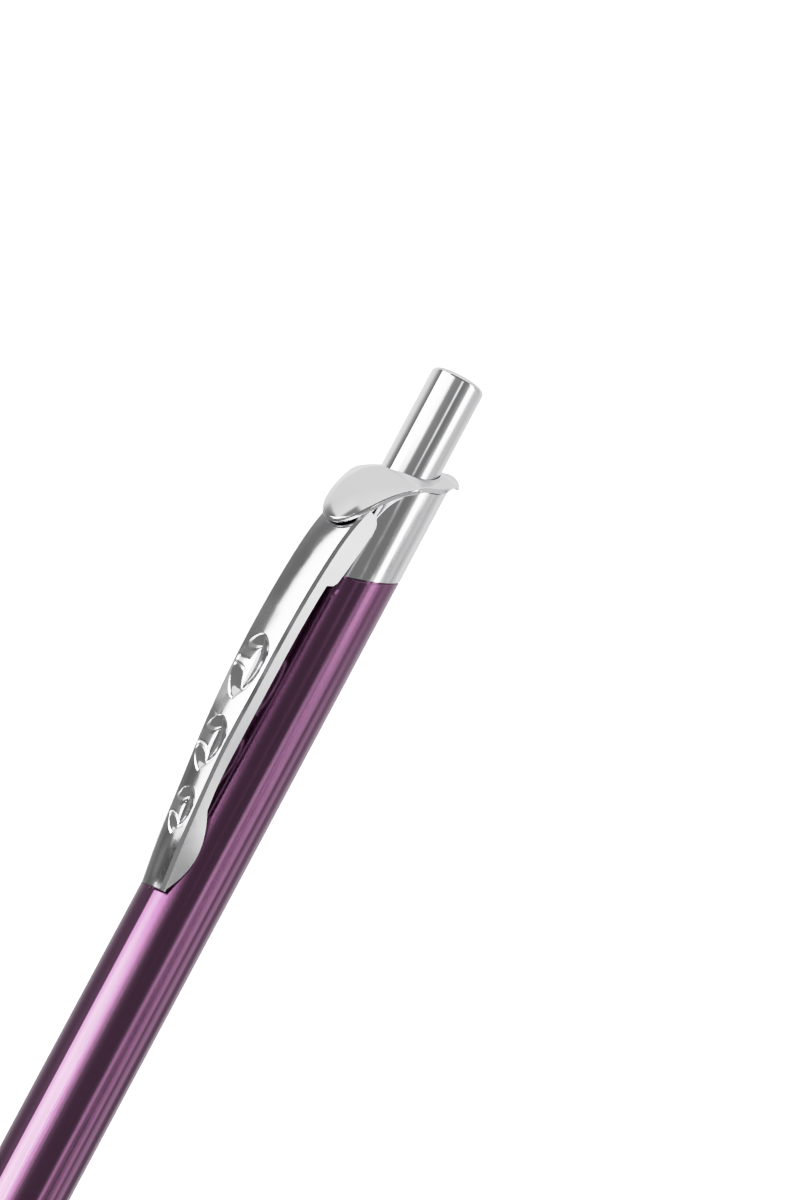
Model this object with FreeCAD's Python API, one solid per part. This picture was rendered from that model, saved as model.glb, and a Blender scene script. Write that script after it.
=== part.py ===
import FreeCAD, Part
import math
import os

V = FreeCAD.Vector

# ---------------------------------------------------------------------------------------------
# Retractable click pen, all lengths in millimetres.
# Every piece is drawn in the pen's own axes and laid down at the end:
#   x runs along the pen, 0 at the middle of the slanted seam, + towards the push button
#   z points from the pen's centre line towards the clip, y runs sideways
# ---------------------------------------------------------------------------------------------

FIT = 0.02                # play left between two pieces that are pressed or laid together
GAP = 0.03                # play left between the ends of neighbouring pieces

# casing
BARREL_R = 4.5
BARREL_BORE_R = 3.9
BARREL_FRONT = -98.0
SEAM_RISE = 1.98          # the slanted seam leans by this much at the barrel's radius
SEAM_GAP = 0.04
SEAM_CHAMFER = 0.12
SEAM_REACH = 4.0          # blanks run this far past the seam before it is cut
COLLAR_TOP = 13.1
COLLAR_SHOULDER = 1.3
COLLAR_UPPER_BORE_R = 3.5
COLLAR_STEP = 4.2         # the wide bore that takes the rear bush ends here

# push button
CAP_R = 3.0
CAP_WALL = 0.35
CAP_TOP = 23.3
CAP_EDGE = 0.6
CAP_MOUTH = 7.9
CAP_SEAT = 0.2            # the button core ends this far under the cap's end wall
CORE_R = 2.6
CORE_BORE_R = 1.6
FLANGE_R = 3.3
FLANGE_X = (7.0, 7.6)
STEM_R = 2.5
STEM_END = -7.2
SPLINE_R = 2.93
SPLINE_WIDTH = 1.2
SPLINE_LENGTH = 6.0
SPLINE_ROOT = 0.4         # the splines are sunk this far below the core's radius

# guide bush, rear bush and cam sleeve
GUIDE_X = (7.75, 10.5)
GUIDE_BORE_R = 3.07
BUSH_OUTER_R = 3.87
REAR_BUSH_X = (-8.0, 4.1)
REAR_BUSH_BORE_R = 3.5
SLEEVE_X = (-15.5, -0.4)
SLEEVE_LENGTH = SLEEVE_X[1] - SLEEVE_X[0]
SLEEVE_R = 3.47
GROOVE_R = 3.05
RIB_R = 2.66
RIB_END = -13.9
GROOVE_WIDTH = 1.5
GROOVES = 4
NOTCH = 1.1               # side of the square notches in the ribs' ends that hold the rotor's fins

# rotor
ROTOR_R = 2.4
FIN_R = 2.93
FIN_WIDTH = 1.2
FIN_X = (-11.0, -8.5)
TOOTH = 0.8               # height of the cam teeth on the button core and on the rotor
TOOTH_GAP = 0.3
TEETH = 8
ROTOR_SHANK_R = 1.9
ROTOR_FOOT = -17.5

# refill
REFILL_TOP = -17.6
REFILL_R = 2.95
REFILL_BORE_R = 2.6
PLUG_X = (-24.0, -20.0)
PLUG_STEP = 0.05
PLUG_CHAMFER = 0.5
SEAL_X = (-31.5, -28.5)   # grease that follows the ink down the tube
TUBE_FRONT = -88.5
TUBE_CHAMFER = 0.15
NOZZLE_DEPTH = 6.0        # the nozzle's tail reaches this far into the tube
NOZZLE_BORE_R = 0.5
NOZZLE_BAND = 0.9         # length of the shoulder that continues the tube
NOZZLE_FLANGE = 0.3
NOZZLE_FLANGE_R = 2.3     # the spring pushes on this flange
NECK_R = 1.65
NECK_FRONT = -106.0
NECK_CHAMFER = 0.3
POINT_DEPTH = 3.0         # the point is pressed this far into the neck
POINT_PLAY = 0.1
POINT_R = 1.18
POINT_STEP = 0.3
POINT_CONE_X = -112.7     # the point tapers from here
POINT_CONE_R = 1.0
POINT_END_R = 0.62
DUCT_R = 0.3
BALL_R = 0.5
BALL_X = -115.2
SOCKET_MOUTH = 0.14       # the socket reaches this far past the ball's middle

# spring
WIRE_R = 0.2
SPRING_R = 2.05
SPRING_X = (-111.05, -90.75)
SPRING_PITCH = 2.2

# nose
THREAD_PITCH = 0.8
THREAD_X = (-97.6, -92.6)
RIDGE_X = (THREAD_X[0] + 0.6, THREAD_X[1] - 0.5)
RIDGE_ROOT = 0.20         # half width of the ridge at its root
RIDGE_CREST = 0.09
THREAD_ROOT_R = 3.4
THREAD_CREST_R = 3.62
NUT_ROOT_R = 3.72
NUT_CREST_R = 3.5
FRONT_BUSH_X = (-97.9, -88.0)
LINER_GAP = 0.9           # room between the nut's thread and the plain bore behind it
LINER_LAP = 0.05
NOSE_TIP = -116.7
NOSE_OUTLINE = [(NOSE_TIP, 1.65), (-115.9, 2.05), (-113.8, 2.72), (-110.5, 3.35), (-105.5, 3.98),
                (-101.5, 4.3)]
NOSE_R = 4.4
RING_R = 4.45
RING_X = (-98.9, -98.05)
RING_BORE_R = 3.7
RING_CHAMFER = 0.1
RING_GAP = 0.05
NOSE_BORE_R = 3.1
SPRING_WELL_R = 2.62
SPRING_WELL_TOP = -98.6
SPRING_FUNNEL = 1.1       # length of the taper that leads the spring into its well
SPRING_LEDGE = -111.3
THROAT_R = 1.75
THROAT_X = -113.3
THROAT_TAPER = 0.5
MOUTH_R = 1.3

# hood, a curved plate over the top of the collar
HOOD_WALL = 0.7
HOOD_AXIS_DEPTH = 9.0     # the plate is crowned about a line this far below its chord
HOOD_SWEEP = 30.0
HOOD_TAIL = (14.9, -5.8)
HOOD_LIP = (2.2, 8.05)
HOOD_HOLE_R = 3.1
HOOD_EDGE = 0.25          # rounding of the rim
HOOD_SPACE = 9.0          # height of the space above the hood that is cleared of other pieces
HOOD_CENTRE = [(14.9, -5.8), (14.0, -4.5), (13.75, -2.2), (12.55, 0.0), (11.1, 3.0),
               (9.5, 4.6), (8.0, 5.7), (6.0, 6.75), (4.2, 7.48), (2.2, 8.05)]
# half width of the plate against the distance from its tail: round at the tail, straight at its
# widest, where the pen lies on it, and drawn in towards the lip
HOOD_TAIL_PLAN = [(0.0, 0.0), (0.7, 1.9), (2.6, 3.55), (4.6, 4.42), (6.3, 4.68)]
HOOD_LIP_PLAN = [(9.3, 4.68), (11.0, 4.32), (12.9, 3.75), (15.0, 3.15), (17.0, 2.2), (17.95, 1.15),
                 (18.2, 0.0)]
HOOD_UNDER = 10.0         # the outline is swept from this far below the chord
HOOD_BLANK_END = 6.0      # the cleared space runs this far past the plate's ends

# clip: (x, height of the outer face, half width, how far the side walls open per mm of depth)
CLIP_WALL = 0.4
CLIP_STATIONS = [(7.0, 5.15, 2.40, 0.28), (4.6, 6.2, 2.45, 0.28), (2.0, 7.02, 2.475, 0.28),
                 (-2.0, 7.66, 2.47, 0.28), (-5.9, 7.99, 2.45, 0.28), (-10.0, 8.14, 2.42, 0.28),
                 (-14.4, 8.13, 2.36, 0.27), (-22.8, 7.78, 2.02, 0.25), (-29.0, 7.04, 1.80, 0.25),
                 (-33.2, 6.45, 1.69, 0.42), (-36.5, 5.86, 1.61, 0.48), (-39.6, 5.28, 1.51, 0.36)]
CLIP_DEEP = 3.0
CLIP_BEVEL = 0.28
CLIP_CORNER = 0.1         # the inner corners of the channel are cut by this
CLIP_CROWN = 0.13         # the outer face is crowned across by this much
CLIP_SIDE = 1.35          # height of the side walls
# deeper skirt of the side walls under the hood: (x, depth below the outer face)
SKIRT = [(5.4, 0.5), (5.2, 1.4), (4.6, 2.0), (3.4, 2.3), (-2.9, 2.3), (-3.4, 2.05), (-3.8, CLIP_SIDE)]
SIDE_STATIONS = (-10.0, -18.0, -25.0)
CLIP_REACH = 8.0          # cutters for the clip reach this far to each side
LOBE_X = (-30.2, -34.9, -39.3)
LOBE_FOOT = 4.06
CLIP_HINGE = (6.4, 4.2)   # the bead on the tab that the clip rocks about
CLIP_BEAD_R = 0.55
TAB_X = (6.0, 6.8)
TAB_Z = (3.75, 5.0)
TAB_HALF_WIDTH = 1.6
SLOT_PLAY = 0.3

# leaf-shaped hollows pressed into the clip: (centre x, length, half width)
HOLLOWS = [(-14.9, 7.5, 1.98), (-23.8, 6.2, 1.74), (-31.3, 5.1, 1.42)]
# outline as shares of the length, from the pointed end, and of the half width
LEAF = [(0.06, 0.27), (0.16, 0.56), (0.30, 0.84), (0.45, 0.98), (0.60, 1.0), (0.74, 0.93), (0.87, 0.70),
        (0.96, 0.36), (1.0, 0.0)]
# pressed bowl: (distance in from the outline, as a share of the half width, share of the depth)
BOWL = [(-0.28, -0.29), (-0.13, -0.11), (0.0, 0.0), (0.08, 0.07), (0.17, 0.2), (0.28, 0.4), (0.4, 0.6),
        (0.55, 0.8), (0.72, 0.94), (0.88, 1.0)]
BOWL_DEPTH = 0.38         # as a share of the half width
BOWL_BACK = 0.32          # metal left under the hollow

# lying on a table the pen rests on its barrel's front end and on the hood's rim, rolled this far
# from clip straight up
REST_ROLL = 90.0


def along(x, r):
    """Point at x along the pen, r out from its centre line."""
    return V(x, 0, r)


def turned(profile):
    """Solid of revolution about the pen's centre line from closed (x, r) points."""
    points = [along(x, r) for x, r in profile]
    face = Part.Face(Part.makePolygon(points + points[:1]))
    return face.revolve(V(0, 0, 0), V(1, 0, 0), 360)


def tube(x0, x1, outer, inner):
    """Plain tube, or a rod when inner is 0."""
    return turned([(x0, inner), (x1, inner), (x1, outer), (x0, outer)])


def spline(points, start=None, end=None):
    """Smooth edge through points; start or end is the direction that it leaves or arrives in."""
    curve = Part.BSplineCurve()
    if start is None and end is None:
        curve.interpolate(points)
    else:
        tangents = [V(0, 0, 0) for _ in points]
        flags = [False] * len(points)
        for i, direction in ((0, start), (len(points) - 1, end)):
            if direction is not None:
                tangents[i], flags[i] = direction, True
        curve.interpolate(Points=points, Tangents=tangents, TangentFlags=flags)
    return curve.toShape()


def fan(shape, count):
    """Copies of a shape spread evenly round the pen's centre line."""
    copies = []
    for i in range(count):
        copy = shape.copy()
        copy.rotate(V(0, 0, 0), V(1, 0, 0), 360.0 * i / count)
        copies.append(copy)
    return copies


def prism(outline, direction):
    """Closed outline swept along a direction."""
    return Part.Face(outline).extrude(direction)


# --- slanted seam and casing -------------------------------------------------------------------

def above_seam(offset):
    """Everything on the button side of the seam plane moved by offset along x."""
    reach = 4 * BARREL_R
    rise = SEAM_RISE / BARREL_R * reach
    corners = [V(offset - rise, -reach, reach), V(offset + rise, -reach, -reach),
               V(COLLAR_TOP + reach, -reach, -reach), V(COLLAR_TOP + reach, -reach, reach)]
    return prism(Part.makePolygon(corners + corners[:1]), V(0, 2 * reach, 0))


def seam_edges(shape):
    """Outer edges of a part that lie on the seam."""
    picked = []
    for edge in shape.Edges:
        box = edge.BoundBox
        if abs(box.ZLength - 2 * BARREL_R) < 0.05 and box.XLength > SEAM_RISE:
            picked.append(edge)
    return picked


def make_barrel():
    body = tube(BARREL_FRONT, SEAM_REACH, BARREL_R, BARREL_BORE_R).cut(above_seam(-SEAM_GAP / 2))
    return body.makeChamfer(SEAM_CHAMFER, seam_edges(body))


def make_collar():
    shoulder = COLLAR_SHOULDER
    centre_x = COLLAR_TOP - shoulder
    centre_r = BARREL_R - shoulder
    round_top = []
    for degrees in range(60, -1, -15):
        a = math.radians(degrees)
        round_top.append((centre_x + shoulder * math.sin(a), centre_r + shoulder * math.cos(a)))
    profile = [(-SEAM_REACH, BARREL_BORE_R), (COLLAR_STEP, BARREL_BORE_R),
               (COLLAR_STEP, COLLAR_UPPER_BORE_R), (COLLAR_TOP, COLLAR_UPPER_BORE_R)]
    profile += round_top + [(-SEAM_REACH, BARREL_R)]
    body = turned(profile).common(above_seam(SEAM_GAP / 2))
    body = body.makeChamfer(SEAM_CHAMFER, seam_edges(body))
    return body.cut(hood_bed()).cut(clip_slot()).removeSplitter()


def clip_slot():
    """Window in the collar that the clip's tab stands in."""
    half = TAB_HALF_WIDTH + SLOT_PLAY
    length = TAB_X[1] - TAB_X[0] + 2 * SLOT_PLAY
    return Part.makeBox(length, 2 * half, 2 * BARREL_R, V(TAB_X[0] - SLOT_PLAY, -half, 0.0))


# --- hood --------------------------------------------------------------------------------------

def hood_chord():
    """Unit vector along the plate from tail to lip, and the one square to it, pointing outwards."""
    run = V(HOOD_LIP[0] - HOOD_TAIL[0], 0, HOOD_LIP[1] - HOOD_TAIL[1])
    run.normalize()
    return run, V(run.z, 0, -run.x)


def hood_layer(under, height):
    """Crowned layer whose floor lies `under` below the hood's outer surface."""
    run, out = hood_chord()
    top = [V(x, 0, z) for x, z in HOOD_CENTRE]
    floor = [p - out * under for p in top]
    if height > under:
        ends = [floor[0] - run * HOOD_BLANK_END, floor[-1] + run * HOOD_BLANK_END]
        ceiling = [ends[1] + out * height, ends[0] + out * height]
        edges = [Part.makeLine(ends[0], floor[0]), spline(floor), Part.makeLine(floor[-1], ends[1]),
                 Part.makeLine(ends[1], ceiling[0]), Part.makeLine(ceiling[0], ceiling[1]),
                 Part.makeLine(ceiling[1], ends[0])]
    else:
        edges = [spline(floor), Part.makeLine(floor[-1], top[-1]), spline(top),
                 Part.makeLine(top[0], floor[0])]
    face = Part.Face(Part.Wire(Part.__sortEdges__(edges)))
    pivot = V(HOOD_TAIL[0], 0, HOOD_TAIL[1]) - out * HOOD_AXIS_DEPTH
    face.rotate(pivot, run, -HOOD_SWEEP)
    return face.revolve(pivot, run, 2 * HOOD_SWEEP)


def hood_bed():
    """Everything above the hood's inner surface, less a hair: what the hood sits on is cut back by this."""
    return hood_layer(HOOD_WALL + FIT, HOOD_SPACE)


def hood_prism():
    """Egg-shaped outline of the plate, swept square to its chord."""
    run, out = hood_chord()
    tail = V(HOOD_TAIL[0], 0, HOOD_TAIL[1]) - out * HOOD_UNDER
    edges = []
    for side in (1, -1):
        rear = [tail + run * s + V(0, side * w, 0) for s, w in HOOD_TAIL_PLAN]
        front = [tail + run * s + V(0, side * w, 0) for s, w in HOOD_LIP_PLAN]
        edges += [spline(rear, end=run), Part.makeLine(rear[-1], front[0]), spline(front, start=run)]
    return prism(Part.Wire(Part.__sortEdges__(edges)), out * 2 * HOOD_UNDER)


def make_hood():
    plate = hood_layer(HOOD_WALL, 0.0).common(hood_prism()).Solids[0]
    rim = [edge for edge in plate.Edges if edge.Length > 2 * HOOD_WALL]
    return plate.makeFillet(HOOD_EDGE, rim).cut(tube(0.0, CAP_TOP, HOOD_HOLE_R, 0.0))


# --- push button -------------------------------------------------------------------------------

def make_button_cap():
    blank = tube(CAP_MOUTH, CAP_TOP, CAP_R, 0.0)
    rim = [e for e in blank.Edges if abs(e.BoundBox.XMin - CAP_TOP) < 0.01 and e.BoundBox.XLength < 0.01]
    blank = blank.makeFillet(CAP_EDGE, rim)
    return blank.cut(tube(CAP_MOUTH, CAP_TOP - CAP_WALL - CAP_SEAT / 2, CAP_R - CAP_WALL, 0.0))


def cam_wedge(x_root, radius, inner, height):
    """One triangular cam tooth of a ring, standing on x_root and pointing along +x or -x."""
    half = math.pi * radius / TEETH
    corners = [V(x_root, -half, 0), V(x_root, half, 0), V(x_root + height, 0, 0)]
    wedge = prism(Part.makePolygon(corners + corners[:1]), V(0, 0, 2 * radius))
    return wedge.common(tube(x_root - 2 * TOOTH, x_root + 2 * TOOTH, radius, inner))


def make_button_core():
    top = CAP_TOP - CAP_WALL - CAP_SEAT
    body = turned([(STEM_END, CORE_BORE_R), (top, CORE_BORE_R), (top, CORE_R), (FLANGE_X[1], CORE_R),
                   (FLANGE_X[1], FLANGE_R), (FLANGE_X[0], FLANGE_R), (FLANGE_X[0], STEM_R),
                   (STEM_END, STEM_R)])
    spline_bar = Part.makeBox(SPLINE_LENGTH, SPLINE_WIDTH, SPLINE_R, V(STEM_END, -SPLINE_WIDTH / 2, 0))
    spline_bar = spline_bar.common(tube(STEM_END, 0.0, SPLINE_R, CORE_R - SPLINE_ROOT))
    teeth = fan(cam_wedge(STEM_END, STEM_R, CORE_BORE_R, -TOOTH), TEETH)
    return body.fuse(fan(spline_bar, GROOVES) + teeth).removeSplitter()


# --- inner bushes and cam sleeve ---------------------------------------------------------------

def make_guide_bush():
    return tube(GUIDE_X[0], GUIDE_X[1], COLLAR_UPPER_BORE_R - 0.02, GUIDE_BORE_R).cut(hood_bed())


def make_rear_bush():
    return tube(REAR_BUSH_X[0], REAR_BUSH_X[1], BUSH_OUTER_R, REAR_BUSH_BORE_R)


def make_cam_sleeve():
    ribs = tube(RIB_END, SLEEVE_X[1], (GROOVE_R + SLEEVE_R) / 2, RIB_R)
    groove = Part.makeBox(2 * SLEEVE_LENGTH, GROOVE_WIDTH, SLEEVE_R,
                          V(-1.5 * SLEEVE_LENGTH, -GROOVE_WIDTH / 2, 0))
    notch = Part.makeBox(NOTCH, NOTCH, SLEEVE_R, V(-NOTCH / 2, -NOTCH / 2, 0))
    notch.rotate(V(0, 0, 0), V(0, 0, 1), 45)
    notch.translate(V(RIB_END, 0, 0))
    notch.rotate(V(0, 0, 0), V(1, 0, 0), 180.0 / GROOVES)
    ribs = ribs.cut(fan(groove, GROOVES) + fan(notch, GROOVES))
    return tube(SLEEVE_X[0], SLEEVE_X[1], SLEEVE_R, GROOVE_R).fuse(ribs).removeSplitter()


def make_rotor():
    top = STEM_END - TOOTH_GAP - TOOTH
    body = turned([(ROTOR_FOOT, 0), (top, 0), (top, ROTOR_R), (FIN_X[0], ROTOR_R),
                   (FIN_X[0] - (ROTOR_R - ROTOR_SHANK_R), ROTOR_SHANK_R), (ROTOR_FOOT, ROTOR_SHANK_R)])
    hollows = fan(cam_wedge(top, ROTOR_R + TOOTH / 8, 0.0, -TOOTH), TEETH)
    fin = Part.makeBox(FIN_X[1] - FIN_X[0], FIN_WIDTH, FIN_R, V(FIN_X[0], -FIN_WIDTH / 2, 0))
    fin = fin.common(tube(FIN_X[0], FIN_X[1], FIN_R, ROTOR_SHANK_R))
    return body.fuse(fan(fin, GROOVES)).cut(hollows).removeSplitter()


# --- refill ------------------------------------------------------------------------------------

def make_refill_end_plug():
    head = REFILL_R - PLUG_STEP
    shank = REFILL_BORE_R - FIT
    return turned([(PLUG_X[0], 0), (REFILL_TOP, 0), (REFILL_TOP, head - PLUG_CHAMFER),
                   (REFILL_TOP - PLUG_CHAMFER, head), (PLUG_X[1], head), (PLUG_X[1], shank),
                   (PLUG_X[0], shank)])


def make_refill_tube():
    top = PLUG_X[1] - GAP
    return turned([(TUBE_FRONT, REFILL_BORE_R), (top, REFILL_BORE_R), (top, REFILL_R),
                   (TUBE_FRONT + 2 * TUBE_CHAMFER, REFILL_R), (TUBE_FRONT, REFILL_R - TUBE_CHAMFER)])


def make_refill_ink():
    return tube(TUBE_FRONT + NOZZLE_DEPTH + GAP, SEAL_X[0] - FIT, REFILL_BORE_R - FIT, 0.0)


def make_refill_seal():
    return tube(SEAL_X[0], SEAL_X[1], REFILL_BORE_R - FIT, 0.0)


def make_refill_nozzle():
    tail = TUBE_FRONT + NOZZLE_DEPTH
    shoulder = TUBE_FRONT - GAP
    flange = SPRING_X[1] + FIT
    socket = NECK_FRONT + POINT_DEPTH
    chamfer = NECK_CHAMFER
    return turned([(tail, NOZZLE_BORE_R), (tail, REFILL_BORE_R - FIT), (shoulder, REFILL_BORE_R - FIT),
                   (shoulder, REFILL_R - TUBE_CHAMFER),
                   (shoulder - NOZZLE_BAND, REFILL_R - 2 * TUBE_CHAMFER),
                   (flange + NOZZLE_FLANGE, NOZZLE_FLANGE_R), (flange, NOZZLE_FLANGE_R), (flange, NECK_R),
                   (NECK_FRONT + chamfer, NECK_R), (NECK_FRONT, NECK_R - chamfer),
                   (NECK_FRONT, POINT_R + FIT), (socket, POINT_R + FIT), (socket, NOZZLE_BORE_R)])


def make_refill_point():
    """Turned tip with a round socket that grips the ball."""
    seat = BALL_R + FIT
    end = BALL_X - SOCKET_MOUTH
    top = NECK_FRONT + POINT_DEPTH - POINT_PLAY
    corners = [(BALL_X + math.sqrt(seat ** 2 - DUCT_R ** 2), DUCT_R), (top, DUCT_R), (top, POINT_R),
               (POINT_CONE_X + POINT_STEP, POINT_R), (POINT_CONE_X, POINT_CONE_R), (end, POINT_END_R),
               (end, math.sqrt(seat ** 2 - SOCKET_MOUTH ** 2))]
    edges = []
    for start, stop in zip(corners, corners[1:]):
        edges.append(Part.makeLine(along(*start), along(*stop)))
    edges.append(Part.Arc(along(*corners[-1]), along(BALL_X, seat), along(*corners[0])).toShape())
    return Part.Face(Part.Wire(Part.__sortEdges__(edges))).revolve(V(0, 0, 0), V(1, 0, 0), 360)


def make_refill_ball():
    return Part.makeSphere(BALL_R, V(BALL_X, 0, 0))


# --- nose --------------------------------------------------------------------------------------

def helical_ridge(x0, x1, base_r, crest_r, shift):
    """Screw ridge about the pen's centre line, from base_r to crest_r."""
    sign = 1 if crest_r > base_r else -1
    helix = Part.makeHelix(THREAD_PITCH, x1 - x0, base_r)
    inner = base_r - RIDGE_CREST * sign
    section = [V(inner, 0, -RIDGE_ROOT), V(crest_r, 0, -RIDGE_CREST), V(crest_r, 0, RIDGE_CREST),
               V(inner, 0, RIDGE_ROOT)]
    wire = Part.makePolygon(section + section[:1])
    ridge = Part.Wire(helix).makePipeShell([wire], True, True)
    ridge.rotate(V(0, 0, 0), V(0, 1, 0), 90)
    ridge.translate(V(x0 + shift, 0, 0))
    return ridge


def make_nose_cone():
    shoulder = RING_X[0] - RING_GAP
    edges = [spline([along(x, r) for x, r in NOSE_OUTLINE + [(shoulder, NOSE_R)]])]
    inner = [(shoulder, NOSE_R), (shoulder, THREAD_ROOT_R), (THREAD_X[1], THREAD_ROOT_R),
             (THREAD_X[1], NOSE_BORE_R), (SPRING_WELL_TOP + SPRING_FUNNEL, NOSE_BORE_R),
             (SPRING_WELL_TOP, SPRING_WELL_R), (SPRING_LEDGE, SPRING_WELL_R), (SPRING_LEDGE, THROAT_R),
             (THROAT_X, THROAT_R), (THROAT_X - THROAT_TAPER, MOUTH_R), (NOSE_TIP, MOUTH_R),
             NOSE_OUTLINE[0]]
    for a, b in zip(inner, inner[1:]):
        edges.append(Part.makeLine(along(*a), along(*b)))
    body = Part.Face(Part.Wire(Part.__sortEdges__(edges))).revolve(V(0, 0, 0), V(1, 0, 0), 360)
    return body.fuse(helical_ridge(*RIDGE_X, THREAD_ROOT_R, THREAD_CREST_R, 0.0))


def make_nose_ring():
    front, rear = RING_X
    edge = RING_R - RING_CHAMFER
    return turned([(front, RING_BORE_R), (rear, RING_BORE_R), (rear, edge), (rear - RING_CHAMFER, RING_R),
                   (front + RING_CHAMFER, RING_R), (front, edge)])


def make_front_bush():
    body = tube(FRONT_BUSH_X[0], FRONT_BUSH_X[1], BUSH_OUTER_R, NUT_ROOT_R)
    liner = tube(RIDGE_X[1] + LINER_GAP, FRONT_BUSH_X[1], NUT_ROOT_R + LINER_LAP, NUT_CREST_R)
    ridge = helical_ridge(*RIDGE_X, NUT_ROOT_R, NUT_CREST_R, THREAD_PITCH / 2)
    return body.fuse([liner, ridge])


# --- spring ------------------------------------------------------------------------------------

def make_return_spring():
    length = SPRING_X[1] - SPRING_X[0] - 2 * WIRE_R
    helix = Part.makeHelix(SPRING_PITCH, length, SPRING_R)
    circle = Part.Wire(Part.makeCircle(WIRE_R, V(SPRING_R, 0, 0), V(0, 1, 0)))
    coil = Part.Wire(helix).makePipeShell([circle], True, True)
    rings = [Part.makeTorus(SPRING_R, WIRE_R, V(0, 0, z)) for z in (0.0, length)]
    body = coil.fuse(rings)
    body.rotate(V(0, 0, 0), V(0, 1, 0), 90)
    body.translate(V(SPRING_X[0] + WIRE_R, 0, 0))
    return body


# --- clip --------------------------------------------------------------------------------------

def clip_section(x, z, half, splay):
    """Channel section of the clip across the pen at x."""
    open_out = splay * CLIP_DEEP
    bevel = CLIP_BEVEL
    right = [(half - bevel, z), (half + splay * bevel, z - bevel), (half + open_out, z - CLIP_DEEP),
             (half + open_out - CLIP_WALL, z - CLIP_DEEP),
             (half - CLIP_WALL + CLIP_CORNER / 2, z - CLIP_WALL - CLIP_CORNER),
             (half - CLIP_WALL - CLIP_CORNER, z - CLIP_WALL)]
    left = [(-y, h) for y, h in right[::-1]]
    points = [V(x, y, h) for y, h in right + left]
    crown = Part.Arc(points[-1], V(x, 0, z + CLIP_CROWN), points[0]).toShape()
    return Part.Wire([crown] + Part.makePolygon(points).Edges)


def clip_height(x):
    """Height of the outer face at x."""
    for station, following in zip(CLIP_STATIONS, CLIP_STATIONS[1:]):
        if following[0] <= x <= station[0]:
            share = (x - station[0]) / (following[0] - station[0])
            return station[1] + (following[1] - station[1]) * share
    return CLIP_STATIONS[-1][1]


def side_point(x, z):
    """Point of the clip's side view, drawn clear of the clip."""
    return V(x, -CLIP_REACH, z)


def below_face(x, depth):
    """Point of the clip's side view, depth below the outer face."""
    return side_point(x, clip_height(x) - depth)


def clip_side_prism():
    """Side view of the clip: skirt under the hood, narrow side walls, and a lobe near the tip."""
    root = CLIP_STATIONS[0][0]
    tip = CLIP_STATIONS[-1][0]
    lip = CLIP_WALL + CLIP_CORNER
    over = 2 * CLIP_REACH
    outline = [side_point(root, over), below_face(root, lip)] + [below_face(*point) for point in SKIRT]
    skirt = Part.makePolygon(outline)
    side = spline([below_face(x, CLIP_SIDE) for x in (SKIRT[-1][0], *SIDE_STATIONS, LOBE_X[0])])
    lobe = Part.Arc(below_face(LOBE_X[0], CLIP_SIDE), side_point(LOBE_X[1], LOBE_FOOT),
                    below_face(LOBE_X[2], lip))
    end = Part.makePolygon([below_face(LOBE_X[2], lip), below_face(tip, lip), side_point(tip, over),
                            side_point(root, over)])
    wire = Part.Wire(Part.__sortEdges__(skirt.Edges + [side, lobe.toShape()] + end.Edges))
    return prism(wire, V(0, 2 * CLIP_REACH, 0))


def leaf(length, half, inset, depth):
    """Leaf outline drawn in by inset on every side, at a depth below the origin's plane."""
    scale = 1 - inset / half
    side = [((share - 0.5) * (length - 2 * inset), half * scale * width) for share, width in LEAF]
    tip = V(-0.5 * (length - 2 * inset), 0, -depth)
    points = [tip] + [V(x, y, -depth) for x, y in side] + [V(x, -y, -depth) for x, y in side[-2::-1]]
    curve = Part.BSplineCurve()
    curve.interpolate(Points=points, PeriodicFlag=True)
    return Part.Wire(curve.toShape())


def pressed(length, half, steps, drop):
    """Solid with leaf-shaped layers, each (inset, depth), all lowered by drop."""
    return Part.makeLoft([leaf(length, half, inset, depth + drop) for inset, depth in steps], True, False)


def on_clip(shape, x):
    """Set a shape drawn about the origin onto the clip's outer face at x."""
    slope = (clip_height(x + 2) - clip_height(x - 2)) / 4.0
    shape.rotate(V(0, 0, 0), V(0, 1, 0), -math.degrees(math.atan(slope)))
    shape.translate(V(x, 0, clip_height(x) + CLIP_CROWN / 2))
    return shape


def press_hollow(clip, x, length, half):
    """Press one hollow: first the metal behind it, then the bowl itself."""
    bowl = [(inset * half, depth * BOWL_DEPTH * half) for inset, depth in BOWL]
    inside = [step for step in bowl if step[0] > 0]
    back = on_clip(pressed(length, half, inside, BOWL_BACK), x)
    return clip.fuse(back).cut(on_clip(pressed(length, half, bowl, 0.0), x))


def make_clip():
    sections = [clip_section(*station) for station in CLIP_STATIONS]
    body = Part.makeLoft(sections, True, False).common(clip_side_prism())
    tab = Part.makeBox(TAB_X[1] - TAB_X[0], 2 * TAB_HALF_WIDTH, TAB_Z[1] - TAB_Z[0],
                       V(TAB_X[0], -TAB_HALF_WIDTH, TAB_Z[0]))
    bead = Part.makeCylinder(CLIP_BEAD_R, 2 * TAB_HALF_WIDTH,
                             V(CLIP_HINGE[0], -TAB_HALF_WIDTH, CLIP_HINGE[1]), V(0, 1, 0))
    body = body.fuse([tab, bead])
    for x, length, half in HOLLOWS:
        body = press_hollow(body, x, length, half)
    return body.removeSplitter()


# --- lay the pen down and write the files ------------------------------------------------------

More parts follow.
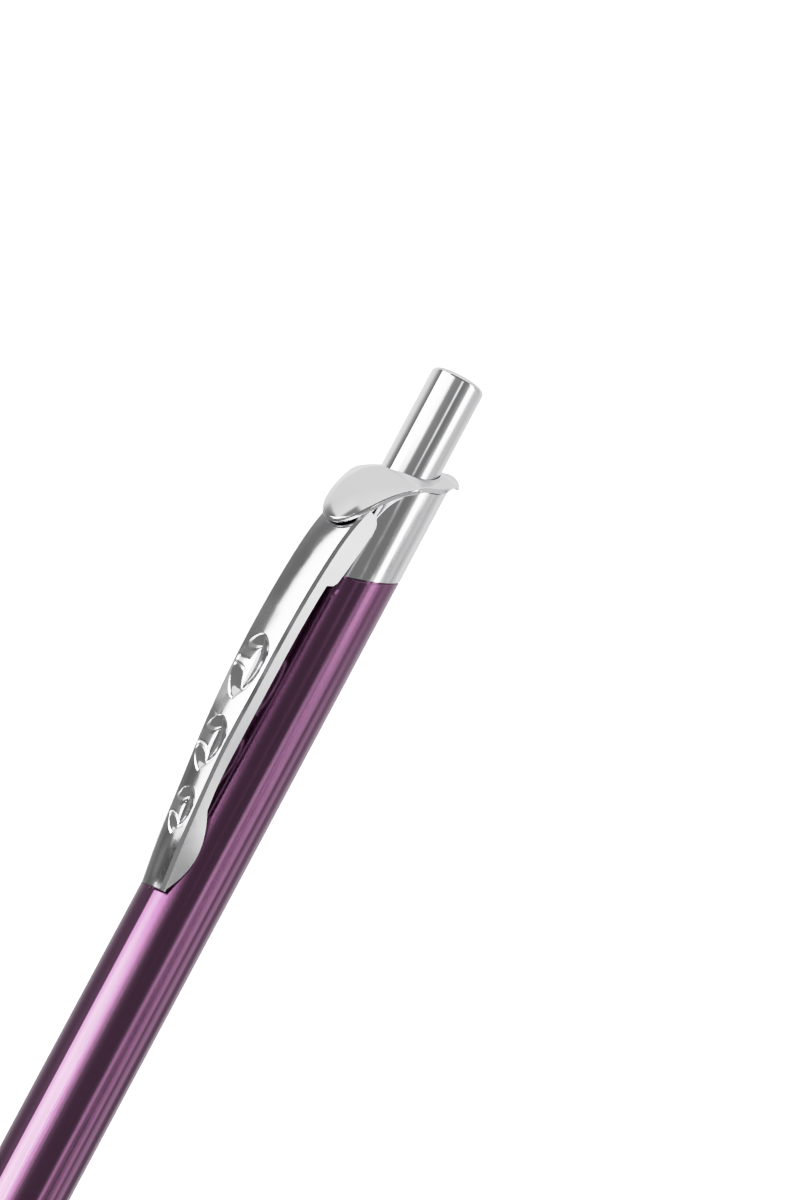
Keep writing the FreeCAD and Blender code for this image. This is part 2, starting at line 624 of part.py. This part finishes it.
def make_all():
    return {
        "button_cap": make_button_cap(),
        "button_core": make_button_core(),
        "hood": make_hood(),
        "guide_bush": make_guide_bush(),
        "collar": make_collar(),
        "clip": make_clip(),
        "cam_sleeve": make_cam_sleeve(),
        "rotor": make_rotor(),
        "rear_bush": make_rear_bush(),
        "barrel": make_barrel(),
        "front_bush": make_front_bush(),
        "nose_ring": make_nose_ring(),
        "nose_cone": make_nose_cone(),
        "return_spring": make_return_spring(),
        "refill_end_plug": make_refill_end_plug(),
        "refill_tube": make_refill_tube(),
        "refill_ink": make_refill_ink(),
        "refill_seal": make_refill_seal(),
        "refill_nozzle": make_refill_nozzle(),
        "refill_point": make_refill_point(),
        "refill_ball": make_refill_ball(),
    }


def lay_down(shapes):
    """Roll the pen onto its hood and put the origin under the middle of its bounding box."""
    for shape in shapes.values():
        shape.rotate(V(0, 0, 0), V(1, 0, 0), -REST_ROLL)
    box = Part.makeCompound(list(shapes.values())).optimalBoundingBox(False)
    shift = V(-(box.XMin + box.XMax) / 2, -(box.YMin + box.YMax) / 2, -box.ZMin)
    for shape in shapes.values():
        shape.translate(shift)
    print("pen centre line and seam at", shift)


parts = make_all()
lay_down(parts)
os.makedirs("parts", exist_ok=True)
for name, shape in parts.items():
    shape.exportStep("parts/" + name + ".step")
    print(name, shape.ShapeType, len(shape.Solids), shape.isValid(), round(shape.Volume, 2))
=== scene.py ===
import bpy
import math
from mathutils import Matrix, Vector


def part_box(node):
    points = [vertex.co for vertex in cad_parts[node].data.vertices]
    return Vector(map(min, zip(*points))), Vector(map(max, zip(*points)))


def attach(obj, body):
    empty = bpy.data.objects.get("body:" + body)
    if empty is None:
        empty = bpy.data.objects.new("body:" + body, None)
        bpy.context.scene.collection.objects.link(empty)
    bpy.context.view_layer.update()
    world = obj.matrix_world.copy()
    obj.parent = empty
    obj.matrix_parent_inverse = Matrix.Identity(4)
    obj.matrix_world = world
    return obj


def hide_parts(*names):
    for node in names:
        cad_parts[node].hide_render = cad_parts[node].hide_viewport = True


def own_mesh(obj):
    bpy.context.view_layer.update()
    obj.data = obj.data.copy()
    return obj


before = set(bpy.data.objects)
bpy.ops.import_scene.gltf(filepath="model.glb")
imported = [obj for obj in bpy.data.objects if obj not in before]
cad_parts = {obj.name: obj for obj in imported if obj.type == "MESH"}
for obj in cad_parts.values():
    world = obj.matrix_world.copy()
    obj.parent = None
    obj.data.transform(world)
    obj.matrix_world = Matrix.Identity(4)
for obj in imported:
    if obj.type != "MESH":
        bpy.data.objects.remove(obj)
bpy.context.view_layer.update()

# ---------------------------------------------------------------------------------------------
# Retractable click pen lying on a table. Metres; x runs along the pen, its push button at +x,
# the clip points to +y, and the table is z = 0.
# ---------------------------------------------------------------------------------------------

MM = 0.001
MICRON = 0.000001
SEAM_RISE = 1.9 * MM        # the slanted seam rises this far above its middle
BARREL_LOW, BARREL_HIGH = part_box("barrel")
AXIS_Y = (BARREL_LOW.y + BARREL_HIGH.y) / 2
AXIS_Z = (BARREL_LOW.z + BARREL_HIGH.z) / 2
SEAM_X = BARREL_HIGH.x - SEAM_RISE


# ---------------------------------------------------------------------------------------------
# Node helpers
# ---------------------------------------------------------------------------------------------

class Recipe:
    """A material under construction: one Principled shader and the procedural nodes that feed it."""

    def __init__(self, name, metallic, roughness, **sockets):
        self.material = bpy.data.materials.new(name)
        self.material.use_nodes = True
        self.nodes = self.material.node_tree.nodes
        self.links = self.material.node_tree.links
        self.shader = self.nodes["Principled BSDF"]
        self.set("Metallic", metallic)
        self.set("Roughness", roughness)
        for socket, value in sockets.items():
            self.set(socket.replace("_", " "), value)
        self.place = self.nodes.new("ShaderNodeTexCoord").outputs["Object"]
        self.height = None

    def set(self, socket, value):
        self.shader.inputs[socket].default_value = value

    def wire(self, output, socket):
        self.links.new(output, self.shader.inputs[socket])

    def math(self, operation, a, b=None):
        """One Math node; a and b are outputs or plain numbers."""
        node = self.nodes.new("ShaderNodeMath")
        node.operation = operation
        for socket, value in zip(node.inputs, (a, b)):
            if isinstance(value, (int, float)):
                socket.default_value = value
            elif value is not None:
                self.links.new(value, socket)
        return node.outputs[0]

    def stretched(self, scale):
        """Object coordinates scaled by (x, y, z), so that grain can run along the pen."""
        node = self.nodes.new("ShaderNodeMapping")
        node.inputs["Scale"].default_value = scale
        self.links.new(self.place, node.inputs["Vector"])
        return node.outputs[0]

    def noise(self, scale, detail=3.0, roughness=0.55, distortion=0.0):
        node = self.nodes.new("ShaderNodeTexNoise")
        node.inputs["Scale"].default_value = 1.0
        node.inputs["Detail"].default_value = detail
        node.inputs["Roughness"].default_value = roughness
        node.inputs["Distortion"].default_value = distortion
        self.links.new(self.stretched(scale), node.inputs["Vector"])
        return node.outputs[0]

    def ranged(self, value, low, high, start=0.35, end=0.65):
        """value mapped smoothly from start..end to low..high."""
        node = self.nodes.new("ShaderNodeMapRange")
        node.interpolation_type = "SMOOTHSTEP"
        limits = {"From Min": start, "From Max": end, "To Min": low, "To Max": high}
        for socket, number in limits.items():
            node.inputs[socket].default_value = number
        self.links.new(value, node.inputs["Value"])
        return node.outputs["Result"]

    def ramp(self, value, colours):
        """A colour ramp through colours, evenly spaced."""
        node = self.nodes.new("ShaderNodeValToRGB")
        elements = node.color_ramp.elements
        while len(elements) < len(colours):
            elements.new(0.5)
        for i, colour in enumerate(colours):
            elements[i].position = i / (len(colours) - 1)
            elements[i].color = (*colour, 1.0)
        self.links.new(value, node.inputs["Fac"])
        return node.outputs["Color"]

    def bump(self, height, distance):
        """Adds one layer of relief, distance metres deep, over the layers before it."""
        node = self.nodes.new("ShaderNodeBump")
        node.inputs["Strength"].default_value = 1.0
        node.inputs["Distance"].default_value = distance
        self.links.new(height, node.inputs["Height"])
        if self.height is not None:
            self.links.new(self.height, node.inputs["Normal"])
        self.height = node.outputs["Normal"]
        self.wire(self.height, "Normal")


def shades(colour, spread):
    """The colour, a little darker and a little lighter."""
    return [tuple(min(1.0, c * k) for c in colour) for k in (1 - spread, 1, 1 + spread)]


# ---------------------------------------------------------------------------------------------
# Materials. Grain sizes are given as features per metre along (x, y, z).
# ---------------------------------------------------------------------------------------------

def polished_metal(name, colour, smooth, worn):
    """Plated or polished metal: faint hairlines along the pen, a few soft smudges from fingers."""
    recipe = Recipe(name, 1.0, smooth)
    smudge = recipe.noise((160, 260, 260), detail=4.0, distortion=0.6)
    hairline = recipe.noise((260, 9000, 9000), detail=2.0, roughness=0.7)
    gloss = recipe.math("ADD", recipe.ranged(smudge, smooth, worn),
                        recipe.ranged(hairline, 0.0, 0.02))
    recipe.wire(gloss, "Roughness")
    recipe.wire(recipe.ramp(smudge, shades(colour, 0.02)), "Base Color")
    recipe.bump(hairline, 0.6 * MICRON)
    return recipe


WALL_FACING = (0.50, 0.62)  # a face is a wall when the y part of its normal is below this
PAINTED_WALL_SHADE = 0.86           # the walls, satin where a die rubbed them, are painted this much darker than the polished faces as shade


def metal_with_painted_wall_shade(name, colour, smooth, worn):
    """Plated pressing: polished where it faces along y, satin on the walls that a die has rubbed, with
    painted shade darkening the walls' colour.
    """
    recipe = polished_metal(name, colour, smooth, worn)
    split = recipe.nodes.new("ShaderNodeSeparateXYZ")
    normal = recipe.nodes["Texture Coordinate"].outputs["Normal"]
    recipe.links.new(normal, split.inputs[0])
    facing = recipe.math("ABSOLUTE", split.outputs["Y"])
    wall = recipe.ranged(facing, 1.0, 0.0, start=WALL_FACING[0], end=WALL_FACING[1])
    drag = recipe.noise((700, 5000, 5000), detail=2.0, roughness=0.5)
    satin = recipe.math("MULTIPLY", wall, recipe.ranged(drag, 0.28, 0.31))
    gloss = recipe.shader.inputs["Roughness"].links[0].from_socket
    recipe.wire(recipe.math("MAXIMUM", gloss, satin), "Roughness")
    # Painted shade: the walls get a darker copy of the colour, standing in for less light reaching
    # them.
    painted_wall_shade_colour = tuple(c * PAINTED_WALL_SHADE for c in colour)
    painted_wall_shade_mix = recipe.nodes.new("ShaderNodeMixRGB")
    recipe.links.new(wall, painted_wall_shade_mix.inputs[0])
    recipe.links.new(recipe.shader.inputs["Base Color"].links[0].from_socket, painted_wall_shade_mix.inputs[1])
    recipe.links.new(recipe.ramp(drag, shades(painted_wall_shade_colour, 0.02)), painted_wall_shade_mix.inputs[2])
    recipe.wire(painted_wall_shade_mix.outputs[0], "Base Color")
    return recipe


def anodised(name, colour):
    """Anodised aluminium: fine drawn grain along the tube under a thin, glossy dyed layer."""
    recipe = Recipe(name, 1.0, 0.13, Coat_Weight=0.5, Coat_Roughness=0.05, Coat_IOR=1.5)
    grain = recipe.noise((30, 7000, 7000), detail=3.0, roughness=0.65)
    cloud = recipe.noise((90, 240, 240), detail=3.0, distortion=0.4)
    speck = recipe.noise((9000, 9000, 9000), detail=1.0)
    gloss = recipe.math("ADD", recipe.ranged(grain, 0.09, 0.14), recipe.ranged(cloud, 0.0, 0.02))
    recipe.wire(gloss, "Roughness")
    tint = recipe.math("ADD", recipe.math("MULTIPLY", cloud, 0.6), recipe.math("MULTIPLY", grain, 0.4))
    recipe.wire(recipe.ramp(tint, shades(colour, 0.10)), "Base Color")
    recipe.bump(grain, 6 * MICRON)
    recipe.bump(speck, 0.5 * MICRON)
    return recipe


LATHE_PITCH = 0.12 * MM


def turned_metal(name, colour, smooth):
    """Machined metal: rings left by the lathe round the pen's axis."""
    recipe = Recipe(name, 1.0, smooth)
    rings = recipe.noise((1 / LATHE_PITCH, 300, 300), detail=2.0, roughness=0.6)
    stain = recipe.noise((500, 500, 500), detail=4.0)
    gloss = recipe.math("ADD", recipe.ranged(rings, smooth, smooth + 0.09),
                        recipe.ranged(stain, 0.0, 0.05))
    recipe.wire(gloss, "Roughness")
    recipe.wire(recipe.ramp(stain, shades(colour, 0.12)), "Base Color")
    recipe.bump(rings, 2 * MICRON)
    return recipe


MOULD_GRAIN = (5200, 5200, 5200)


def moulded_plastic(name, colour, smooth, scatter=0.0):
    """Injection-moulded plastic: fine spark-eroded texture, slight flow marks along the piece."""
    recipe = Recipe(name, 0.0, smooth, Specular_IOR_Level=0.5, Subsurface_Weight=scatter,
                    Subsurface_Scale=0.8 * MM)
    texture = recipe.noise(MOULD_GRAIN, detail=2.0)
    flow = recipe.noise((120, 900, 900), detail=3.0, distortion=0.8)
    recipe.wire(recipe.ranged(texture, smooth, smooth + 0.12), "Roughness")
    recipe.wire(recipe.ramp(flow, shades(colour, 0.08)), "Base Color")
    recipe.bump(texture, 6 * MICRON)
    return recipe


def thick_fluid(name, colour, smooth):
    """Ink paste or grease: wet surface with slow swirls."""
    recipe = Recipe(name, 0.0, smooth, Coat_Weight=0.6, Coat_Roughness=0.08)
    swirl = recipe.noise((500, 700, 700), detail=4.0, distortion=1.2)
    recipe.wire(recipe.ranged(swirl, smooth, smooth + 0.15), "Roughness")
    recipe.wire(recipe.ramp(swirl, shades(colour, 0.25)), "Base Color")
    recipe.bump(swirl, 20 * MICRON)
    return recipe


CHROME = (0.83, 0.83, 0.845)
VIOLET = (0.22, 0.088, 0.187)
STEEL = (0.60, 0.60, 0.61)
DRAWN_STEEL = (0.66, 0.67, 0.68)
BRASS = (0.72, 0.52, 0.24)
NICKEL_BRASS = (0.74, 0.66, 0.45)

chrome = polished_metal("chrome_plate", CHROME, 0.035, 0.075)
pressed_chrome = polished_metal("pressed_chrome", CHROME, 0.05, 0.10)
clip_chrome = metal_with_painted_wall_shade("clip_chrome", CHROME, 0.05, 0.10)
violet = anodised("violet_anodised", VIOLET)
brass = turned_metal("turned_brass", BRASS, 0.24)
nickel_brass = turned_metal("nickel_brass", NICKEL_BRASS, 0.20)
drawn_steel = polished_metal("drawn_tube", DRAWN_STEEL, 0.16, 0.26)
spring_steel = polished_metal("spring_wire", STEEL, 0.20, 0.32)
carbide = polished_metal("ball_carbide", (0.46, 0.46, 0.47), 0.10, 0.16)
white_acetal = moulded_plastic("acetal_white", (0.78, 0.78, 0.75), 0.38, scatter=0.15)
red_acetal = moulded_plastic("acetal_red", (0.62, 0.10, 0.085), 0.38)
grey_acetal = moulded_plastic("acetal_grey", (0.16, 0.16, 0.17), 0.42)
black_nylon = moulded_plastic("nylon_black", (0.03, 0.03, 0.033), 0.45)
ink = thick_fluid("ink_paste", (0.012, 0.010, 0.035), 0.22)
grease = thick_fluid("ink_follower", (0.62, 0.55, 0.36), 0.30)

FINISH = {
    "barrel": violet,
    "collar": chrome,
    "hood": pressed_chrome,
    "clip": clip_chrome,
    "button_cap": chrome,
    "nose_ring": chrome,
    "nose_cone": chrome,
    "button_core": grey_acetal,
    "guide_bush": brass,
    "cam_sleeve": white_acetal,
    "rotor": red_acetal,
    "rear_bush": brass,
    "front_bush": brass,
    "return_spring": spring_steel,
    "refill_end_plug": black_nylon,
    "refill_tube": drawn_steel,
    "refill_ink": ink,
    "refill_seal": grease,
    "refill_nozzle": brass,
    "refill_point": nickel_brass,
    "refill_ball": carbide,
}

for node, recipe in FINISH.items():
    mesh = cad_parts[node].data
    mesh.materials.clear()
    mesh.materials.append(recipe.material)


# ---------------------------------------------------------------------------------------------
# Return spring: round wire, closed coils at both ends.
# ---------------------------------------------------------------------------------------------

SPRING_LOW, SPRING_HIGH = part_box("return_spring")
WIRE_R = 0.2 * MM
COIL_R = (SPRING_HIGH.y - SPRING_LOW.y) / 2 - WIRE_R
CLOSED_TURNS = 1.0
OPEN_TURNS = 8.0
CLOSED_PITCH = 2.1 * WIRE_R
TURN_STEPS = 40
WIRE_SIDES = 12


def coil_place(turn):
    """How far along the pen the wire's middle is after so many turns."""
    end = CLOSED_TURNS * CLOSED_PITCH
    length = SPRING_HIGH.x - SPRING_LOW.x - 2 * WIRE_R
    share = (turn - CLOSED_TURNS) / OPEN_TURNS
    if share < 0:
        return turn * CLOSED_PITCH
    if share > 1:
        return length - (2 * CLOSED_TURNS + OPEN_TURNS - turn) * CLOSED_PITCH
    return end + (length - 2 * end) * share


def coil_centre(step):
    turn = step / TURN_STEPS
    angle = 2 * math.pi * turn
    x = SPRING_LOW.x + WIRE_R + coil_place(turn)
    return Vector((x, AXIS_Y + COIL_R * math.cos(angle), AXIS_Z + COIL_R * math.sin(angle)))


def coil_mesh():
    """Round wire along the coil, with a flat end at each side."""
    steps = int((2 * CLOSED_TURNS + OPEN_TURNS) * TURN_STEPS)
    vertices, faces = [], []
    for step in range(steps + 1):
        centre = coil_centre(step)
        outward = Vector((0, centre.y - AXIS_Y, centre.z - AXIS_Z)).normalized()
        for side in range(WIRE_SIDES):
            angle = 2 * math.pi * side / WIRE_SIDES
            offset = math.cos(angle) * outward + math.sin(angle) * Vector((1, 0, 0))
            vertices.append(centre + WIRE_R * offset)
    for step in range(steps):
        for side in range(WIRE_SIDES):
            a = step * WIRE_SIDES + side
            b = step * WIRE_SIDES + (side + 1) % WIRE_SIDES
            faces.append((a, a + WIRE_SIDES, b + WIRE_SIDES, b))
    faces.append(tuple(range(WIRE_SIDES)))
    faces.append(tuple(reversed(range(steps * WIRE_SIDES, (steps + 1) * WIRE_SIDES))))
    mesh = bpy.data.meshes.new("return_coil")
    mesh.from_pydata(vertices, [], faces)
    mesh.shade_smooth()
    return mesh


def make_coil():
    mesh = coil_mesh()
    mesh.materials.append(spring_steel.material)
    coil = bpy.data.objects.new("return_coil", mesh)
    bpy.context.scene.collection.objects.link(coil)
    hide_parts("return_spring")
    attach(coil, "casing")
    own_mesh(coil)


make_coil()


# ---------------------------------------------------------------------------------------------
# Table, light and camera
# ---------------------------------------------------------------------------------------------

TABLE_SIZE = 8.0
TABLE_GLOW = 5.0            # the table shines a little, so that the pen throws no shadow on it


def make_table():
    half = TABLE_SIZE / 2
    mesh = bpy.data.meshes.new("table")
    corners = [(-half, -half, 0), (half, -half, 0), (half, half, 0), (-half, half, 0)]
    mesh.from_pydata(corners, [], [(0, 1, 2, 3)])
    table = bpy.data.objects.new("table", mesh)
    bpy.context.scene.collection.objects.link(table)
    recipe = Recipe("table_white", 0.0, 0.8, Specular_IOR_Level=0.2)
    fibre = recipe.noise((900, 900, 900), detail=3.0)
    recipe.wire(recipe.ramp(fibre, shades((0.93, 0.93, 0.93), 0.008)), "Base Color")
    recipe.set("Emission Color", (1.0, 1.0, 1.0, 1.0))
    recipe.set("Emission Strength", TABLE_GLOW)
    mesh.materials.append(recipe.material)
    table.visible_glossy = False


# The studio: brightness against the angle round the pen's axis, 0 towards the +y horizon, 90
# straight up, 180 the -y horizon, -90 straight down. A big soft light low in front, a narrow strip
# overhead and white card behind, with black flags between them.
BELOW = [(-180, 0.80), (-140, 0.90), (-100, 1.10), (-82, 0.90), (-72, 0.75)]
DARK_BELOW = [(-180, 0.80), (-140, 0.70), (-104, 0.60), (-88, 0.40), (-76, 0.28)]
COLLAR_LIGHT = BELOW + [
    (-62, 0.30), (-50, 0.17), (-43, 0.17), (-40, 2.4), (-29, 3.4), (-10, 3.4), (-3, 0.5), (4, 0.2),
    (20, 0.2), (30, 0.2), (48, 0.20), (58, 0.22), (63, 0.19), (80, 0.20), (88, 0.28), (93, 0.9),
    (96, 3.2), (107, 3.2), (111, 0.7), (116, 0.42), (128, 0.58), (137, 0.62), (147, 0.46),
    (158, 0.64), (172, 0.85)]
BUTTON_LIGHT = BELOW + [
    (-62, 0.50), (-50, 0.22), (-43, 0.22), (-39, 1.6), (-34, 3.2), (-29, 3.6), (12, 3.6),
    (18, 1.6), (23, 0.5), (30, 0.30), (48, 0.26), (53, 0.34), (56, 1.4), (58, 1.4), (62, 0.34),
    (67, 0.18), (84, 0.30), (92, 0.50), (98, 3.2), (113, 3.2), (121, 0.9), (129, 0.64),
    (146, 0.60), (168, 0.68), (180, 0.75)]
MIDDLE_LIGHT = DARK_BELOW + [
    (-62, 0.30), (-50, 0.17), (-42, 0.17), (-39, 2.4), (-29, 3.2), (-14, 3.2), (-8, 0.4), (2, 0.12),
    (30, 0.12), (60, 0.16), (75, 0.20), (81, 0.30), (84, 3.0), (89, 2.2), (94, 0.35), (104, 0.30),
    (111, 1.5), (119, 2.2), (125, 0.26), (132, 0.36), (139, 1.3), (147, 1.4), (154, 0.35),
    (166, 0.40), (176, 0.70)]
LOWER_LIGHT = DARK_BELOW + [
    (-62, 0.32), (-54, 0.50), (-47, 0.65), (-42, 0.90), (-36, 2.8), (-25, 8.8), (0, 8.8), (10, 4.6),
    (18, 2.7), (24, 1.3), (30, 0.50), (38, 0.28), (50, 0.20), (70, 0.19), (79, 0.22), (84, 1.6),
    (89, 1.0), (94, 0.28), (108, 0.26), (114, 0.9), (121, 1.3), (127, 0.26), (135, 1.0), (147, 1.2),
    (154, 0.34), (168, 0.24), (178, 0.50)]
TIP_LIGHT = [(-180, 0.70), (-62, 0.30), (-50, 0.13), (-38, 0.16), (-33, 0.34), (-28, 2.4), (-19, 2.4),
             (-8, 0.45), (20, 0.25), (80, 0.22), (100, 0.45), (140, 0.50), (180, 0.70)]
TIP_SHADE = [(-180, 0.70), (-62, 0.30), (-50, 0.16), (-42, 0.24), (-34, 0.12), (-20, 0.07), (20, 0.25),
             (80, 0.22), (140, 0.50), (180, 0.70)]
RIM_LIGHT = [(-180, 0.70), (-90, 0.30), (-70, 0.30), (-56, 0.22), (-40, 0.26), (-30, 2.4), (-8, 2.4),
             (10, 0.4), (30, 0.30), (80, 0.30), (130, 0.60), (180, 0.70)]
NEAR_END = [(-180, 0.60), (-90, 0.25), (-44, 0.18), (20, 0.20), (60, 0.30), (100, 2.0), (150, 2.0),
            (180, 0.60)]
LIP_LIGHT = [(-180, 0.80), (-60, 0.78), (-40, 1.0), (-35, 0.24), (60, 0.20), (120, 0.6), (180, 0.80)]
FAR_END = [(-180, 0.80), (-60, 0.80), (0, 1.05), (60, 0.95), (120, 0.74), (180, 0.80)]
STUDIO_PEAK = 10.0

# The lights change along the pen. Each entry is a light and the range of the mirrored direction's
# x over which it takes over from the one before; a cylinder's mirrored x grows towards its button.
ALONG = [
    (NEAR_END, None),
    (RIM_LIGHT, (-0.48, -0.42)),
    (TIP_SHADE, (-0.30, -0.26)),
    (TIP_LIGHT, (-0.150, -0.110)),
    (MIDDLE_LIGHT, (0.02, 0.06)),
    (LOWER_LIGHT, (0.085, 0.095)),
    (MIDDLE_LIGHT, (0.1350, 0.1400)),
    (COLLAR_LIGHT, (0.160, 0.171)),
    (BUTTON_LIGHT, (0.1825, 0.186)),
    (COLLAR_LIGHT, (0.21, 0.23)),
    (LIP_LIGHT, (0.55, 0.58)),
    (FAR_END, (0.705, 0.73)),
]


class Studio:
    """World shader: a stack of light rings round the x axis, mixed along it."""

    def __init__(self):
        world = bpy.data.worlds.new("studio")
        bpy.context.scene.world = world
        world.use_nodes = True
        self.nodes, self.links = world.node_tree.nodes, world.node_tree.links
        direction = self.nodes.new("ShaderNodeTexCoord")
        split = self.nodes.new("ShaderNodeSeparateXYZ")
        self.links.new(direction.outputs["Generated"], split.inputs[0])
        self.along = split.outputs["X"]
        angle = self.nodes.new("ShaderNodeMath")
        angle.operation = "ARCTAN2"
        self.links.new(split.outputs["Z"], angle.inputs[0])
        self.links.new(split.outputs["Y"], angle.inputs[1])
        self.turn = self.share(angle.outputs[0], -math.pi, math.pi, "LINEAR")

    def share(self, value, start, end, interpolation="SMOOTHSTEP"):
        """0..1 as value goes from start to end."""
        node = self.nodes.new("ShaderNodeMapRange")
        node.interpolation_type = interpolation
        node.inputs["From Min"].default_value = start
        node.inputs["From Max"].default_value = end
        self.links.new(value, node.inputs["Value"])
        return node.outputs["Result"]

    def ring(self, lights):
        """Brightness round the axis from (degrees, brightness) pairs."""
        node = self.nodes.new("ShaderNodeValToRGB")
        elements = node.color_ramp.elements
        while len(elements) < len(lights):
            elements.new(0.5)
        for element, (degrees, light) in zip(elements, lights):
            level = light / STUDIO_PEAK
            element.position = (degrees + 180) / 360
            element.color = (level, level, level, 1.0)
        self.links.new(self.turn, node.inputs["Fac"])
        return node.outputs["Color"]

    def mixed(self, first, second, factor):
        node = self.nodes.new("ShaderNodeMixRGB")
        for socket, output in zip(node.inputs, (factor, first, second)):
            self.links.new(output, socket)
        return node.outputs[0]

    def build(self):
        colour = self.ring(ALONG[0][0])
        for lights, (start, end) in ALONG[1:]:
            colour = self.mixed(colour, self.ring(lights), self.share(self.along, start, end))
        background = self.nodes["Background"]
        background.inputs["Strength"].default_value = STUDIO_PEAK
        self.links.new(colour, background.inputs["Color"])


LAMP_SIZE = 2.5
LAMP_HEIGHT = 2.5
LAMP_WATTS = 60


def make_table_light():
    """A wide soft light overhead, which the pen doesn't mirror."""
    data = bpy.data.lights.new("table_light", "AREA")
    data.shape = "DISK"
    data.size = LAMP_SIZE
    data.energy = LAMP_WATTS
    light = bpy.data.objects.new("table_light", data)
    light.location = (0, 0, LAMP_HEIGHT)
    light.visible_glossy = False
    light.visible_camera = False
    bpy.context.scene.collection.objects.link(light)


# The camera looks down on the pen from the clip's side: CLIP_TURN round the pen's axis from the
# clip, tilted towards the nose, and leaned so that the pen runs up to the right.
CLIP_TURN = math.radians(40)
TILT = math.radians(10)
LEAN = math.radians(28.1)
DISTANCE = 1.2
SENSOR = 36.0
VIEW_HEIGHT = 124.7 * MM    # what the picture's longer side takes in at the pen
OFFSET_RIGHT = 5.38 * MM    # from the seam to the middle of the picture, across the pen
OFFSET_UP = -0.29 * MM      # and along it


def make_camera():
    along = Vector((1, 0, 0))
    side = Vector((0, math.sin(math.radians(90) - CLIP_TURN), math.sin(CLIP_TURN)))
    back = math.cos(TILT) * side - math.sin(TILT) * along
    up = math.cos(TILT) * along + math.sin(TILT) * side
    right = up.cross(back)
    target = Vector((SEAM_X, AXIS_Y, AXIS_Z)) + OFFSET_RIGHT * right + OFFSET_UP * up
    image_right = math.sin(LEAN) * up + math.cos(LEAN) * right
    image_up = math.cos(LEAN) * up - math.sin(LEAN) * right
    data = bpy.data.cameras.new("camera")
    data.sensor_width = SENSOR
    data.lens = SENSOR * DISTANCE / VIEW_HEIGHT
    camera = bpy.data.objects.new("camera", data)
    bpy.context.scene.collection.objects.link(camera)
    turn = Matrix((image_right, image_up, back)).transposed().to_4x4()
    camera.matrix_world = Matrix.Translation(target + DISTANCE * back) @ turn
    bpy.context.scene.camera = camera


# Film response: (light, tone). Straight at first, then a soft shoulder that lets bright violet pale.
FILM = [(0.0, 0.0), (0.32, 0.32), (0.64, 0.64), (0.90, 0.745), (1.20, 0.82), (1.50, 0.89),
        (2.2, 0.97), (3.2, 1.0), (6.4, 1.0)]
COMBINED = 3                # the curve that acts on all three colours


def set_tones():
    view = bpy.context.scene.view_settings
    view.view_transform = "Standard"
    view.use_curve_mapping = True
    mapping = view.curve_mapping
    brightest = FILM[-1][0]
    mapping.white_level = (brightest, brightest, brightest)
    points = mapping.curves[COMBINED].points
    while len(points) < len(FILM):
        points.new(0.5, 0.5)
    for point, (light, tone) in zip(points, FILM):
        point.location = (light / brightest, tone)
        point.handle_type = "VECTOR"
    mapping.update()


make_table()
Studio().build()
make_table_light()
make_camera()
set_tones()
